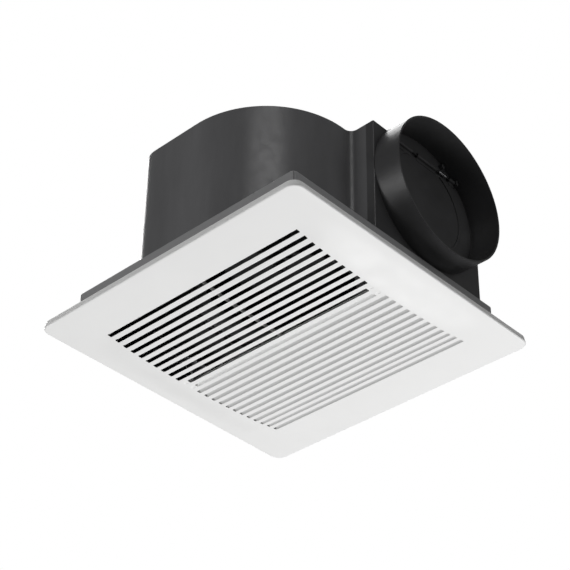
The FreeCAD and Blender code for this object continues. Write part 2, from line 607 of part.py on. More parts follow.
def make_wheel():
    """Dished back plate with its hub, blades and lower ring, and the rotor on its shaft."""
    top = BLADE_TOP + 2.5
    back = turned([(12, 80), (56, 80), (61, 83), (75, BLADE_TOP), (WHEEL_R, BLADE_TOP),
                   (WHEEL_R, top), (73.5, top), (58.5, 84.5), (55, 82.4), (12, 82.4)])
    hub_z0, hub_z1, bush_r = 72.0, 88.0, 6.5
    node("impeller_back_plate", back.fuse(fan_tube(12.5, bush_r, hub_z0, hub_z1)).removeSplitter())
    node("impeller_blades", group([blade(360.0 * i / BLADE_COUNT) for i in range(BLADE_COUNT)]))
    node("impeller_ring", fan_tube(WHEEL_R, 85.0, WHEEL_Z0, WHEEL_Z0 + 3))
    node("impeller_bush", fan_tube(bush_r, SHAFT_R, hub_z0, hub_z1))
    thread_r, nut_h = 3.0, 5.0
    washer_z = hub_z0 - 1.5
    node("impeller_washer", fan_tube(8.0, SHAFT_R, washer_z, hub_z0))
    corners = [V(FAN_X + 6 * math.cos(a), FAN_Y + 6 * math.sin(a), washer_z - nut_h)
               for a in (math.radians(60 * i) for i in range(7))]
    nut = Part.Face(Part.makePolygon(corners)).extrude(V(0, 0, nut_h))
    node("impeller_nut", nut.cut(fan_rod(thread_r, 60, 75)))
    shaft = fan_rod(SHAFT_R, washer_z, UPPER_BEARING + 7.5)
    node("motor_shaft", shaft.fuse(fan_rod(thread_r, washer_z - 8, washer_z)))
    node("rotor_core", fan_tube(24.0, SHAFT_R, CORE_Z0 + 1, CORE_Z1 - 1))
    node("rotor_end_rings", group([fan_tube(21.5, 15.0, CORE_Z0 - 3, CORE_Z0 + 1),
                                   fan_tube(21.5, 15.0, CORE_Z1 - 1, CORE_Z1 + 3)]))


# ---- wiring -------------------------------------------------------------------------
def make_wiring_box():
    x0, x1 = BOX_MIDDLE - BOX_SIDE / 2, BOX_MIDDLE + BOX_SIDE / 2
    z0, z1 = FRAME_TOP, FRAME_TOP + BOX_H
    shell = box(x0, x1, x0, x1, z0, z1).cut(box(x0 + 2, x1 - 2, x0 + 2, x1 - 2, z0 + 2, z1 + 1))
    corners = [(x0 + 4, x1 - 4), (x1 - 4, x0 + 4)]
    posts = [rod(3.2, (x, y, z0), (x, y, z1)) for x, y in corners]
    clamp_z = z0 + 22.0
    clamp_posts = [box(x1 - 14, x1 - 8, BOX_MIDDLE + s - 3, BOX_MIDDLE + s + 3, z0 + 1, clamp_z)
                   for s in (-9.5, 9.5)]
    block = box(x0 + 7, x0 + 21, BOX_MIDDLE - 14, BOX_MIDDLE + 14, z0 + 2, z0 + 14)
    entry = rod(6.5, (x1 - 3, BOX_MIDDLE, clamp_z), (x1 + 1, BOX_MIDDLE, clamp_z))
    clamp_screws = [((x1 - 11, BOX_MIDDLE + s, clamp_z + 6), (0, 0, -1)) for s in (-9.5, 9.5)]
    holes = [rod(1.3, (x, y, z1 - 9), (x, y, z1 + 1)) for x, y in corners] + [entry]
    holes += [rod(1.3, (x, y, z0 - 1), (x, y, z0 + 3)) for x, y in BOX_SCREWS]
    holes += [screw_hole(p, d, 12, 1.1) for p, d in clamp_screws]
    node("wiring_box", shell.fuse(posts + clamp_posts).cut(holes).removeSplitter())
    node("wiring_box_screws", group([screw((x, y, z0 + 2), (0, 0, -1), 4.4, 1.3, 2.6, 1.5)
                                     for x, y in BOX_SCREWS]))
    lid = box(x0, x1, x0, x1, z1, z1 + 2)
    lid = lid.makeFillet(0.8, [e for e in lid.Edges if e.BoundBox.ZMin > z1 + 1])
    drop = outward(TO_BOX, LEAD_DROP, 0)
    lid_holes = [rod(1.3, (x, y, z1 - 1), (x, y, z1 + 3)) for x, y in corners]
    lid_holes.append(rod(3.6, (drop[0], drop[1], z1 - 1), (drop[0], drop[1], z1 + 3)))
    node("wiring_box_cover", lid.cut(lid_holes))
    node("wiring_box_cover_screws", group([screw((x, y, z1 + 2), (0, 0, -1), 9, 1.3, 2.6, 1.5)
                                           for x, y in corners]))
    terminals, grub = [], []
    for i in (-1, 0, 1):
        for j in (-4.0, 4.0):
            p = (x0 + 14 + j, BOX_MIDDLE + 9.0 * i, z0 + 14)
            terminals.append(rod(2.2, p, (p[0], p[1], p[2] - 6)))
            grub.append(screw((p[0], p[1], p[2] - 3), (0, 0, -1), 3.0, 1.2, 2.0, 1.2))
    node("terminal_block", block.cut(terminals))
    node("terminal_screws", group(grub))
    bridge = box(x1 - 14, x1 - 8, BOX_MIDDLE - 12.5, BOX_MIDDLE + 12.5, clamp_z, clamp_z + 6)
    bridge = bridge.cut([rod(4.5, (x1 - 20, BOX_MIDDLE, clamp_z), (x1, BOX_MIDDLE, clamp_z))]
                        + [screw_hole(p, d, 8, 1.1) for p, d in clamp_screws])
    node("cord_clamp", bridge)
    node("cord_clamp_screws", group([screw(p, d, 11, 1.1, 2.2, 1.4) for p, d in clamp_screws]))
    sleeve = [(x1 - 3.5, 8.0), (x1 - 2, 8.0), (x1 - 2, 6.5), (x1, 6.5), (x1, 8.0), (x1 + 2.5, 7.0)]
    inner = [(x1 + 2.5, CABLE_R), (x1 - 3.5, CABLE_R)]
    points = [V(x, BOX_MIDDLE, clamp_z + r) for x, r in sleeve + inner]
    ring = Part.Face(Part.makePolygon(points + points[:1]))
    node("cable_grommet", ring.revolve(V(0, BOX_MIDDLE, clamp_z), V(1, 0, 0), 360))
    collar = [(LEAD_R, z1 - 1.5), (5.0, z1 - 1.5), (5.0, z1), (3.6, z1), (3.6, z1 + 2),
              (5.0, z1 + 2), (4.4, z1 + 4), (LEAD_R, z1 + 4)]
    node("lead_grommet", turned(collar, drop[0], drop[1]))


def make_capacitor():
    """Run capacitor in a moulded case with a screw lug at each end."""
    cx, cy = CAPACITOR
    z, side, depth, height = BODY_TOP, 16.0, 9.0, 14.0
    case = box(cx - side, cx + side, cy - depth, cy + depth, z, z + height)
    case = case.makeFillet(1.5, [e for e in case.Edges if e.BoundBox.ZMax > z + 1])
    lugs = box(cx - side - 8, cx + side + 8, cy - 5, cy + 5, z, z + 2)
    holes = [rod(1.3, (x, y, z - 1), (x, y, z + 3)) for x, y in CAPACITOR_SCREWS]
    node("run_capacitor", case.fuse(lugs).cut(holes).removeSplitter())
    node("capacitor_screws", group([screw((x, y, z + 2), (0, 0, -1), 4.4, 1.3, 2.6, 1.5)
                                    for x, y in CAPACITOR_SCREWS]))


def lead(target, drop_at, end_z):
    """Wire from the motor over the cover's edge and down: two runs and one bend."""
    bend = 18.0
    start, turn_start = V(*outward(target, 31, LEAD_Z)), V(*outward(target, drop_at - bend, LEAD_Z))
    turn_end = V(*outward(target, drop_at, LEAD_Z - bend))
    tilt = bend * (1 - math.sqrt(0.5))
    middle = V(*outward(target, drop_at - tilt, LEAD_Z - tilt))
    path = [Part.LineSegment(start, turn_start).toShape(),
            Part.Arc(turn_start, middle, turn_end).toShape(),
            Part.LineSegment(turn_end, V(turn_end.x, turn_end.y, end_z)).toShape()]
    section = Part.Wire([Part.makeCircle(LEAD_R, start, turn_start - start)])
    return Part.Wire(path).makePipeShell([section], True, False)


def make_leads():
    node("motor_lead", lead(TO_BOX, LEAD_DROP, FRAME_TOP + BOX_H - 8))
    node("capacitor_lead", rod(LEAD_R, outward(CAPACITOR, 31, LEAD_Z), outward(CAPACITOR, 83, LEAD_Z)))
    ux, uy, _ = outward(TO_BOX, 1.0, 0)
    angle = math.degrees(math.atan2(uy - FAN_Y, ux - FAN_X))
    saddle = tube(LEAD_R + 1.2, LEAD_R, (-4, 0, LEAD_Z), (4, 0, LEAD_Z))
    saddle = saddle.cut(box(-5, 5, -5, 5, BODY_TOP - 5, BODY_TOP))
    foot = box(-4, 4, LEAD_R + 0.3, 12, BODY_TOP, BODY_TOP + 1.4)
    clip = saddle.fuse(foot)
    clip.rotate(V(0, 0, 0), V(0, 0, 1), angle)
    clip.translate(V(*outward(TO_BOX, CLIP_AT, 0)))
    node("lead_clip", clip.cut(screw_hole(CLIP_HEAD, (0, 0, -1), 3, 1.1)))
    node("lead_clip_screw", screw(CLIP_HEAD, (0, 0, -1), 3.6, 1.1, 2.2, 1.4))


def main():
    node("grille_panel", make_grille())
    make_grille_springs()
    make_base_frame()
    make_flange()
    make_spring_catches()
    make_scroll()
    make_cover()
    make_inlet()
    make_adaptor()
    make_flap()
    make_motor()
    make_wheel()
    make_wiring_box()
    make_capacitor()
    make_leads()
    os.makedirs("parts", exist_ok=True)
    for name, shape in NODES.items():
        shape.exportStep("parts/" + name + ".step")
        print(name, len(shape.Solids), shape.isValid(), round(shape.Volume))
    print(len(NODES), "nodes")


main()
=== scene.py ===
"""Looks of a ceiling extractor fan, made around the CAD model of its pieces.

Shapes are worked out in millimetres, and MM turns them into metres. Places of the camera and
the lights, and the scales of the textures, are in metres.
"""

import json
import math

import bmesh
import bpy
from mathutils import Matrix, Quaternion, Vector
from mathutils.geometry import delaunay_2d_cdt

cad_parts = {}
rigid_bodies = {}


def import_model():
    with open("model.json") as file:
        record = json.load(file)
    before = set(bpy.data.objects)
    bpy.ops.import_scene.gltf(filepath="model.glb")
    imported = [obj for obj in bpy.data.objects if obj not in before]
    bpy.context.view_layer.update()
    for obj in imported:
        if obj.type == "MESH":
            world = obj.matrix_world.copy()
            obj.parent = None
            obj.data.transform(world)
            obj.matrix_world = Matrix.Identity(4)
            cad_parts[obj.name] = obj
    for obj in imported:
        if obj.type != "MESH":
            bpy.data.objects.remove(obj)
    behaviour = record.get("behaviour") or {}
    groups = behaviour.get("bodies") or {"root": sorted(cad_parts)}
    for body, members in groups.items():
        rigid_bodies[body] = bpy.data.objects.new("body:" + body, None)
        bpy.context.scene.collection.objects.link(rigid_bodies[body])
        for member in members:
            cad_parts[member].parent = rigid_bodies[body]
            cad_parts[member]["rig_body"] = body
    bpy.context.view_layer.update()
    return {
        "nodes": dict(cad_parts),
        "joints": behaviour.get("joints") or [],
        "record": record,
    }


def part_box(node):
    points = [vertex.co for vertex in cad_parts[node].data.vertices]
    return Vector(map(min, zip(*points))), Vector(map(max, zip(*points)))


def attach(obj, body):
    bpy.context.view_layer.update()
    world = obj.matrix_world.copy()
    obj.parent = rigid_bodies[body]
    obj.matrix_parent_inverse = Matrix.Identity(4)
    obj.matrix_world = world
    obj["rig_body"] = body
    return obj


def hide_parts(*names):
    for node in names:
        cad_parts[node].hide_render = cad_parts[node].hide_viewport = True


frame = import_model()
NODES = frame["nodes"]
RECORD = frame["record"]
MM = 0.001


def node_box(name):
    """Lowest and highest corner of a CAD node, in mm."""
    low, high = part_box(name)
    return low / MM, high / MM


def joint_at(name):
    """Place of a joint, in mm."""
    joint = next(j for j in frame["joints"] if j["name"] == name)
    return Vector(joint["pos_m"]) / MM


# ---- camera, lights and stage -------------------------------------------------------
# view up at the grille from the front left
CAMERA_AT = Vector((-0.9149, -0.8728, -0.8611))
CAMERA_LOOK = Vector((0.58574, 0.56004, 0.58588))
CAMERA_ROLL = math.radians(1.03)
CAMERA_LENS = 104.7
FLOOR_Z, FLOOR_R, FLOOR_SIDES = -3.4, 6.0, 96
WORLD_FILL = 0.1             # strength of the white surroundings as light
# name, place, point aimed at, width and height, watts. All aim at the fan but the last, which
# lights the floor.
LIGHTS = [
    ("key_below", (1.5, 0.15, -2.55), (0.0, 0.0, 0.0), (1.9, 1.9), 81.0),
    ("left_wall", (-1.45, 0.35, 0.0), (0.0, 0.0, 0.08), (0.5, 0.6), 4.7),
    ("band", (-0.92, -0.83, 0.95), (-0.1, -0.08, 0.1), (0.7, 0.45), 2.6),
    ("rim_back", (0.22, 1.35, 0.85), (-0.05, 0.0, 0.1), (0.5, 0.7), 9.0),
    ("duct_front", (0.3, -1.7, 0.05), (0.05, -0.13, 0.08), (0.8, 0.8), 3.8),
    ("overhead", (0.6, 0.6, 2.2), (0.0, 0.0, 0.1), (1.6, 1.6), 26.0),
    ("edge_glint", (-1.0, 0.95, -1.0), (-0.1, 0.0, 0.0), (0.35, 0.35), 3.6),
    ("floor_wash", (0.0, 0.0, -1.6), (0.0, 0.0, FLOOR_Z), (11.0, 11.0), 380.0),
]


def make_camera():
    """Camera below the fan, looking up at the grille and the duct collar."""
    data = bpy.data.cameras.new("camera")
    data.lens = CAMERA_LENS
    data.sensor_width = 36.0
    data.clip_start = 0.01
    camera = bpy.data.objects.new("camera", data)
    bpy.context.scene.collection.objects.link(camera)
    camera.rotation_mode = "QUATERNION"
    roll = Quaternion((0, 0, 1), CAMERA_ROLL)
    camera.rotation_quaternion = CAMERA_LOOK.to_track_quat("-Z", "Y") @ roll
    camera.location = CAMERA_AT
    bpy.context.scene.camera = camera
    bpy.context.scene.view_settings.view_transform = "Standard"


def make_light(name, at, aim, size, power):
    """Soft rectangular lamp that the camera doesn't see."""
    data = bpy.data.lights.new(name, "AREA")
    data.shape = "RECTANGLE"
    data.size, data.size_y = size
    data.energy = power
    lamp = bpy.data.objects.new(name, data)
    bpy.context.scene.collection.objects.link(lamp)
    lamp.location = at
    lamp.rotation_mode = "QUATERNION"
    lamp.rotation_quaternion = (Vector(aim) - Vector(at)).to_track_quat("-Z", "Y")
    lamp.visible_camera = False


def make_world():
    """White to the camera, and a dimmer white as light on the object."""
    world = bpy.data.worlds.new("studio")
    world.use_nodes = True
    nodes, links = world.node_tree.nodes, world.node_tree.links
    nodes.clear()
    out = nodes.new("ShaderNodeOutputWorld")
    mix = nodes.new("ShaderNodeMixShader")
    path = nodes.new("ShaderNodeLightPath")
    links.new(path.outputs["Is Camera Ray"], mix.inputs["Fac"])
    for slot, strength in ((1, WORLD_FILL), (2, 1.0)):
        background = nodes.new("ShaderNodeBackground")
        background.inputs["Color"].default_value = (1, 1, 1, 1)
        background.inputs["Strength"].default_value = strength
        links.new(background.outputs[0], mix.inputs[slot])
    links.new(mix.outputs[0], out.inputs["Surface"])
    bpy.context.scene.world = world


def make_floor():
    """Pale disc under the camera. It throws no light back up at the fan."""
    mesh = bpy.data.meshes.new("floor")
    angles = [math.tau * i / FLOOR_SIDES for i in range(FLOOR_SIDES)]
    corners = [(FLOOR_R * math.cos(a), FLOOR_R * math.sin(a), FLOOR_Z) for a in angles]
    mesh.from_pydata(corners, [], [tuple(range(FLOOR_SIDES))])
    floor = bpy.data.objects.new("floor", mesh)
    bpy.context.scene.collection.objects.link(floor)
    paint = Paint("studio_floor", (0.86, 0.86, 0.86), 0.85)
    paint.mottle(3.0, 0.03)
    mesh.materials.append(paint.material)
    floor.visible_diffuse = False
    floor.visible_glossy = False


# ---- materials ----------------------------------------------------------------------
class Paint:
    """One procedural material. Noise is read in the object's own space, in metres."""

    def __init__(self, name, color, roughness, metallic=0.0):
        self.material = bpy.data.materials.new(name)
        self.material.use_nodes = True
        self.tree = self.material.node_tree
        self.bsdf = self.tree.nodes["Principled BSDF"]
        self.color = color
        self.roughness = roughness
        self.bsdf.inputs["Base Color"].default_value = (*color, 1)
        self.bsdf.inputs["Roughness"].default_value = roughness
        self.bsdf.inputs["Metallic"].default_value = metallic
        self.bump = None
        self.coord = self.add("ShaderNodeTexCoord").outputs["Object"]

    def add(self, kind, **inputs):
        """New node with these input values; an underscore in a name stands for a space."""
        made = self.tree.nodes.new(kind)
        for key, value in inputs.items():
            made.inputs[key.replace("_", " ")].default_value = value
        return made

    def link(self, a, b):
        self.tree.links.new(a, b)

    def stretched(self, stretch):
        """The object's space, scaled by stretch: a small number draws a texture out."""
        mapping = self.add("ShaderNodeMapping", Scale=stretch)
        self.link(self.coord, mapping.inputs["Vector"])
        return mapping.outputs["Vector"]

    def noise(self, scale, detail=4.0, stretch=(1, 1, 1)):
        """Cloudy texture, from 0 to 1."""
        made = self.add("ShaderNodeTexNoise", Scale=scale, Detail=detail, Roughness=0.55)
        self.link(self.stretched(stretch), made.inputs["Vector"])
        return made.outputs["Fac"]

    def cells(self, scale):
        """Crystals, each of one tone."""
        made = self.add("ShaderNodeTexVoronoi", Scale=scale)
        self.link(self.coord, made.inputs["Vector"])
        return made.outputs["Color"]

    def bands(self, scale, direction, distortion=0.0):
        """Stripes across a direction."""
        made = self.add("ShaderNodeTexWave", Scale=scale, Distortion=distortion)
        made.bands_direction = direction
        self.link(self.coord, made.inputs["Vector"])
        return made.outputs["Fac"]

    def spread(self, value, low, high, start=0.3, end=0.7):
        """Maps start..end to low..high."""
        made = self.add("ShaderNodeMapRange", From_Min=start, From_Max=end, To_Min=low, To_Max=high)
        self.link(value, made.inputs["Value"])
        return made.outputs["Result"]

    def math(self, kind, first, second=0.0):
        made = self.tree.nodes.new("ShaderNodeMath")
        made.operation = kind
        for slot, value in enumerate((first, second)):
            if isinstance(value, float):
                made.inputs[slot].default_value = value
            else:
                self.link(value, made.inputs[slot])
        return made.outputs[0]

    def tone(self, value, dark, light, start=0.3, end=0.7):
        """Base colour between two shades of the material, by a texture."""
        mix = self.tree.nodes.new("ShaderNodeMix")
        mix.data_type = "RGBA"
        shades = [socket for socket in mix.inputs if socket.type == "RGBA"]
        for socket, factor in zip(shades, (dark, light)):
            socket.default_value = (*[c * factor for c in self.color], 1)
        self.link(self.spread(value, 0.0, 1.0, start, end), mix.inputs[0])
        result = next(socket for socket in mix.outputs if socket.type == "RGBA")
        self.link(result, self.bsdf.inputs["Base Color"])

    def mottle(self, scale, amount, stretch=(1, 1, 1)):
        """Uneven shade, by a share of the colour either way."""
        self.tone(self.noise(scale, stretch=stretch), 1.0 - amount, 1.0 + amount)

    def gloss(self, value, amount):
        """Roughness that varies by amount either way."""
        rough = self.spread(value, self.roughness - amount, self.roughness + amount)
        self.link(rough, self.bsdf.inputs["Roughness"])

    def relief(self, value, height, strength=1.0):
        """Adds bumps of that height, in metres, on top of those already there."""
        made = self.add("ShaderNodeBump", Strength=strength, Distance=height)
        self.link(value, made.inputs["Height"])
        if self.bump:
            self.link(self.bump, made.inputs["Normal"])
        self.bump = made.outputs["Normal"]
        self.link(self.bump, self.bsdf.inputs["Normal"])


def grille_white():
    """Satin white moulding with a very fine grain and slow, soft sink waves."""
    paint = Paint("satin_white_moulding", (0.88, 0.88, 0.875), 0.45)
    paint.mottle(9.0, 0.012)
    paint.gloss(paint.noise(60.0), 0.05)
    paint.relief(paint.noise(2600.0, 2.0), 0.00001, 0.35)
    paint.relief(paint.noise(14.0, 1.0), 0.0004, 0.12)
    return paint.material


def black_moulding(name, shade, roughness, flow):
    """Dark moulded plastic: fine grain, streaks along the flow and faint scuffs."""
    paint = Paint(name, (shade, shade, shade * 1.03), roughness)
    paint.tone(paint.noise(22.0, 5.0, flow), 0.82, 1.22)
    paint.gloss(paint.noise(90.0, 6.0), 0.07)
    paint.relief(paint.noise(1900.0, 2.0), 0.00002, 0.4)
    paint.relief(paint.noise(30.0, 2.0, flow), 0.0003, 0.03)
    return paint.material


def zinc_sheet():
    """Zinc plated sheet with a faint spangle and rolling marks."""
    paint = Paint("zinc_sheet", (0.55, 0.56, 0.58), 0.36, 1.0)
    paint.tone(paint.cells(260.0), 0.86, 1.1)
    paint.gloss(paint.noise(400.0, 4.0, (1, 0.1, 1)), 0.1)
    paint.relief(paint.noise(900.0, 3.0, (1, 0.06, 1)), 0.00003, 0.4)
    return paint.material


def bright_screw():
    """Bright zinc with rolled-in scratches."""
    paint = Paint("zinc_screw", (0.62, 0.62, 0.63), 0.3, 1.0)
    paint.mottle(700.0, 0.1)
    paint.gloss(paint.noise(1500.0), 0.09)
    paint.relief(paint.noise(3500.0, 2.0), 0.00002, 0.4)
    return paint.material


def drawn_wire():
    """Spring wire with fine lengthways draw marks."""
    paint = Paint("drawn_wire", (0.5, 0.5, 0.51), 0.28, 1.0)
    paint.mottle(300.0, 0.12, (1, 1, 0.1))
    paint.gloss(paint.noise(2500.0, 2.0, (1, 1, 0.05)), 0.08)
    paint.relief(paint.noise(4000.0, 2.0, (1, 1, 0.05)), 0.00001, 0.5)
    return paint.material


def lamination_stack():
    """Stacked half-millimetre laminations."""
    paint = Paint("laminations", (0.3, 0.3, 0.32), 0.45, 1.0)
    sheets = paint.bands(320.0, "Z")
    paint.tone(sheets, 0.75, 1.15)
    paint.gloss(paint.noise(500.0), 0.1)
    paint.relief(sheets, 0.00008, 0.8)
    return paint.material


def machined(name, color, roughness, scale):
    """Turned or cast metal with tool marks along its axis."""
    paint = Paint(name, color, roughness, 1.0)
    paint.mottle(350.0, 0.12)
    paint.gloss(paint.noise(1200.0, 3.0), 0.08)
    paint.relief(paint.noise(scale, 2.0, (0.1, 0.1, 1)), 0.00003, 0.5)
    return paint.material


def copper_winding():
    """Enamelled copper wires side by side."""
    paint = Paint("enamelled_copper", (0.5, 0.2, 0.08), 0.32, 0.9)
    wires = paint.bands(420.0, "DIAGONAL", 1.5)
    paint.tone(wires, 0.65, 1.15)
    paint.gloss(paint.noise(300.0), 0.08)
    paint.relief(wires, 0.0002, 0.9)
    return paint.material


def soft_rubber():
    """Matt, pitted rubber."""
    paint = Paint("soft_rubber", (0.025, 0.025, 0.026), 0.72)
    paint.mottle(160.0, 0.2)
    paint.gloss(paint.noise(300.0), 0.08)
    paint.relief(paint.noise(1400.0, 3.0), 0.00004, 0.6)
    return paint.material


def pvc_sheath():
    """Smooth dark sheath, a little wavy."""
    paint = Paint("pvc_sheath", (0.045, 0.045, 0.047), 0.45)
    paint.mottle(90.0, 0.15)
    paint.gloss(paint.noise(220.0), 0.08)
    paint.relief(paint.noise(500.0, 2.0), 0.0001, 0.35)
    return paint.material


def natural_nylon():
    """Cream nylon that lets a little light through."""
    paint = Paint("natural_nylon", (0.72, 0.69, 0.6), 0.4)
    paint.bsdf.inputs["Subsurface Weight"].default_value = 0.15
    paint.bsdf.inputs["Subsurface Radius"].default_value = (0.002, 0.0018, 0.0012)
    paint.mottle(120.0, 0.05)
    paint.gloss(paint.noise(300.0), 0.06)
    paint.relief(paint.noise(1500.0, 2.0), 0.00002, 0.4)
    return paint.material


def capacitor_case():
    """Light grey moulded case."""
    paint = Paint("capacitor_case", (0.6, 0.6, 0.585), 0.38)
    paint.mottle(45.0, 0.03)
    paint.gloss(paint.noise(120.0), 0.05)
    paint.relief(paint.noise(1700.0, 2.0), 0.00002, 0.4)
    return paint.material


SHADE_FADE_RANGE = (0.1355, 0.1362)     # where the painted shade inside the frame fades out: within the skirt's wall, and just under its outer face


def frame_moulding_painted_shade():
    """Dark grey skirt with a textured outer face; painted shade darkens the frame inside the skirt to
    near black.
    """
    paint = Paint("grey_frame_painted_shade", (0.3, 0.3, 0.305), 0.45)
    parts = paint.add("ShaderNodeSeparateXYZ")
    paint.link(paint.coord, parts.inputs["Vector"])
    across, along = [paint.math("ABSOLUTE", parts.outputs[name]) for name in "XY"]
    reach = paint.math("MAXIMUM", across, along)
    grain = paint.math("MULTIPLY", paint.noise(26.0, 5.0), 0.1)
    # painted shade: inside the skirt's outer face the grey drops to 6 percent, standing in for the shade
    # inside the housing
    clear_of_painted_shade = paint.spread(reach, 0.0, 0.95, *SHADE_FADE_RANGE)
    paint.tone(paint.math("ADD", clear_of_painted_shade, grain), 0.06, 1.0, 0.0, 1.0)
    paint.gloss(paint.noise(90.0, 6.0), 0.07)
    paint.relief(paint.noise(1900.0, 2.0), 0.00002, 0.4)
    return paint.material


# directions in which the plastic flowed into its mould
DOWN, ROUND, EVEN = (1, 1, 0.15), (0.4, 0.4, 1), (1, 1, 1)
MATERIALS = {
    "grille_white": grille_white(),
    "black_plastic": black_moulding("black_body", 0.13, 0.35, DOWN),
    "duct_plastic": black_moulding("black_duct", 0.055, 0.36, ROUND),
    "flap_plastic": black_moulding("black_flap", 0.045, 0.45, EVEN),
    "wheel_plastic": black_moulding("black_wheel", 0.014, 0.45, DOWN),
    "box_plastic": black_moulding("black_box", 0.034, 0.45, EVEN),
    "terminal_plastic": natural_nylon(),
    "capacitor_plastic": capacitor_case(),
    "zinc_steel": zinc_sheet(),
    "lamination_steel": lamination_stack(),
    "spring_steel": drawn_wire(),
    "screw_steel": bright_screw(),
    "brass": machined("turned_brass", (0.78, 0.58, 0.25), 0.28, 1800.0),
    "bearing_bronze": machined("sintered_bronze", (0.52, 0.36, 0.2), 0.5, 2600.0),
    "copper_winding": copper_winding(),
    "rotor_aluminium": machined("cast_aluminium", (0.72, 0.72, 0.74), 0.42, 900.0),
    "rubber": soft_rubber(),
    "lead_sheath": pvc_sheath(),
    "clip_nylon": black_moulding("black_nylon", 0.05, 0.4, EVEN),
}
SLOT_OF = {part["node"]: part["material_slot"] for part in RECORD["subparts"]}
FRAME_GREY_PAINTED_SHADE = frame_moulding_painted_shade()
BLACKENED = machined("blackened_steel", (0.05, 0.05, 0.052), 0.5, 1500.0)
# nodes with a finish of their own; the frame's look also holds painted shade inside the skirt
OWN_LOOK = {
    "base_frame": FRAME_GREY_PAINTED_SHADE, "ceiling_flange": FRAME_GREY_PAINTED_SHADE, "flap_pin": BLACKENED,
    "impeller_nut": BLACKENED, "impeller_washer": BLACKENED, "motor_shaft": BLACKENED,
    "spring_pins": BLACKENED,
}


def look_of(node):
    """A CAD node's material."""
    return OWN_LOOK.get(node, MATERIALS[SLOT_OF[node]])


# ---- mesh helpers -------------------------------------------------------------------
WELD = 2e-6                  # metres within which two corners are one
NEAR = 1e-6                  # mm within which two points of a sheet are one


def to_object(name, bm):
    """Object made of the mesh, which is used up."""
    bmesh.ops.recalc_face_normals(bm, faces=bm.faces)
    mesh = bpy.data.meshes.new(name)
    bm.to_mesh(mesh)
    bm.free()
    obj = bpy.data.objects.new(name, mesh)
    bpy.context.scene.collection.objects.link(obj)
    return obj


def apply_modifiers(obj):
    """Puts the modified mesh in the place of the object's own."""
    bpy.context.view_layer.update()
    graph = bpy.context.evaluated_depsgraph_get()
    mesh = bpy.data.meshes.new_from_object(obj.evaluated_get(graph))
    obj.modifiers.clear()
    old = obj.data
    obj.data = mesh
    bpy.data.meshes.remove(old)


def bevel(obj, width):
    """Rounds the sharp edges."""
    mod = obj.modifiers.new("bevel", "BEVEL")
    mod.width = width * MM
    mod.segments = 2
    mod.limit_method = "ANGLE"
    mod.angle_limit = math.radians(34.0)
    mod.use_clamp_overlap = False
    mod.miter_outer = "MITER_ARC"
    apply_modifiers(obj)


def place(obj, node, sharp=46.0):
    """Smooth shading, the material and body of the CAD node that the piece replaces, and hides that node.
    """
    for face in obj.data.polygons:
        face.use_smooth = True
    obj.data.set_sharp_from_angle(angle=math.radians(sharp))
    mod = obj.modifiers.new("normals", "WEIGHTED_NORMAL")
    mod.keep_sharp = True
    apply_modifiers(obj)
    obj.data.materials.clear()
    obj.data.materials.append(look_of(node))
    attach(obj, NODES[node]["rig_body"])
    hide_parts(node)
    return obj


def welded(node):
    """The CAD node's mesh, with the corners that meet joined."""
    bm = bmesh.new()
    bm.from_mesh(NODES[node].data)
    bmesh.ops.remove_doubles(bm, verts=bm.verts, dist=WELD)
    return bm


def refined(node, width):
    """The node's own shape with its edges rounded."""
    obj = to_object(node + "_shell", welded(node))
    bevel(obj, width)
    return place(obj, node)


def ring_of(bm, points):
    """New vertices at these points."""
    return [bm.verts.new(Vector(p) * MM) for p in points]


def band(bm, first, second):
    """Quads between two rings of vertices. Returns the second."""
    count = len(first)
    for k in range(count):
        j = (k + 1) % count
        bm.faces.new((first[k], first[j], second[j], second[k]))
    return second


def loft(bm, rings):
    """Closed skin over rings of points, each as long as the last, with a face at both ends."""
    made = [ring_of(bm, ring) for ring in rings]
    for first, second in zip(made, made[1:]):
        band(bm, first, second)
    bm.faces.new(made[0])
    bm.faces.new(made[-1])


def circle_of(centre, side, other, radius, sides):
    """Points round a centre, in the plane of side and other."""
    angles = [math.tau * k / sides for k in range(sides)]
    return [centre + (side * math.cos(a) + other * math.sin(a)) * radius for a in angles]


WIRE_TIP = ((0.92, 0.0), (0.6, 0.25))    # the end's rings: share of the radius, and how far out


def wire_tip(point, outward, ring, radius):
    """The rings that round off a wire's end."""
    return [[point + (q - point) * narrow + outward * (radius * out) for q in ring]
            for narrow, out in WIRE_TIP]


def wire(bm, points, radius, sides=12):
    """Round wire along a path, with rounded ends."""
    points = [Vector(p) for p in points]
    ahead = [(b - a).normalized() for a, b in zip(points, points[1:])]
    ahead.append(ahead[-1])
    side = ahead[0].orthogonal().normalized()
    axes, rings = [], []
    for i, point in enumerate(points):
        axis = (ahead[max(i - 1, 0)] + ahead[i]).normalized()
        side = (side - axis * side.dot(axis)).normalized()
        axes.append(axis)
        rings.append(circle_of(point, side, axis.cross(side), radius, sides))
    start = wire_tip(points[0], -axes[0], rings[0], radius)
    end = wire_tip(points[-1], axes[-1], rings[-1], radius)
    loft(bm, start[::-1] + rings[1:-1] + end)


def helix(centre, axis, radius, turns, length, per_turn=20):
    """Points of a coil about a centre, along an axis."""
    axis = Vector(axis).normalized()
    side = axis.orthogonal().normalized()
    other = axis.cross(side)
    count = int(turns * per_turn)
    points = []
    for i in range(count + 1):
        a = math.tau * turns * i / count
        spoke = (side * math.cos(a) + other * math.sin(a)) * radius
        points.append(Vector(centre) + axis * (length * (i / count - 0.5)) + spoke)
    return points


def reached(start, seen):
    """Every vertex joined to start by edges. They are added to seen."""
    group, queue = [], [start]
    seen.add(start)
    while queue:
        vert = queue.pop()
        group.append(vert)
        for edge in vert.link_edges:
            other = edge.other_vert(vert)
            if other not in seen:
                seen.add(other)
                queue.append(other)
    return group


def islands(node):
    """The separate solids of a CAD node, each as a list of points in mm."""
    bm = welded(node)
    seen = set()
    found = [[v.co / MM for v in reached(vert, seen)] for vert in bm.verts if vert not in seen]
    bm.free()
    return found


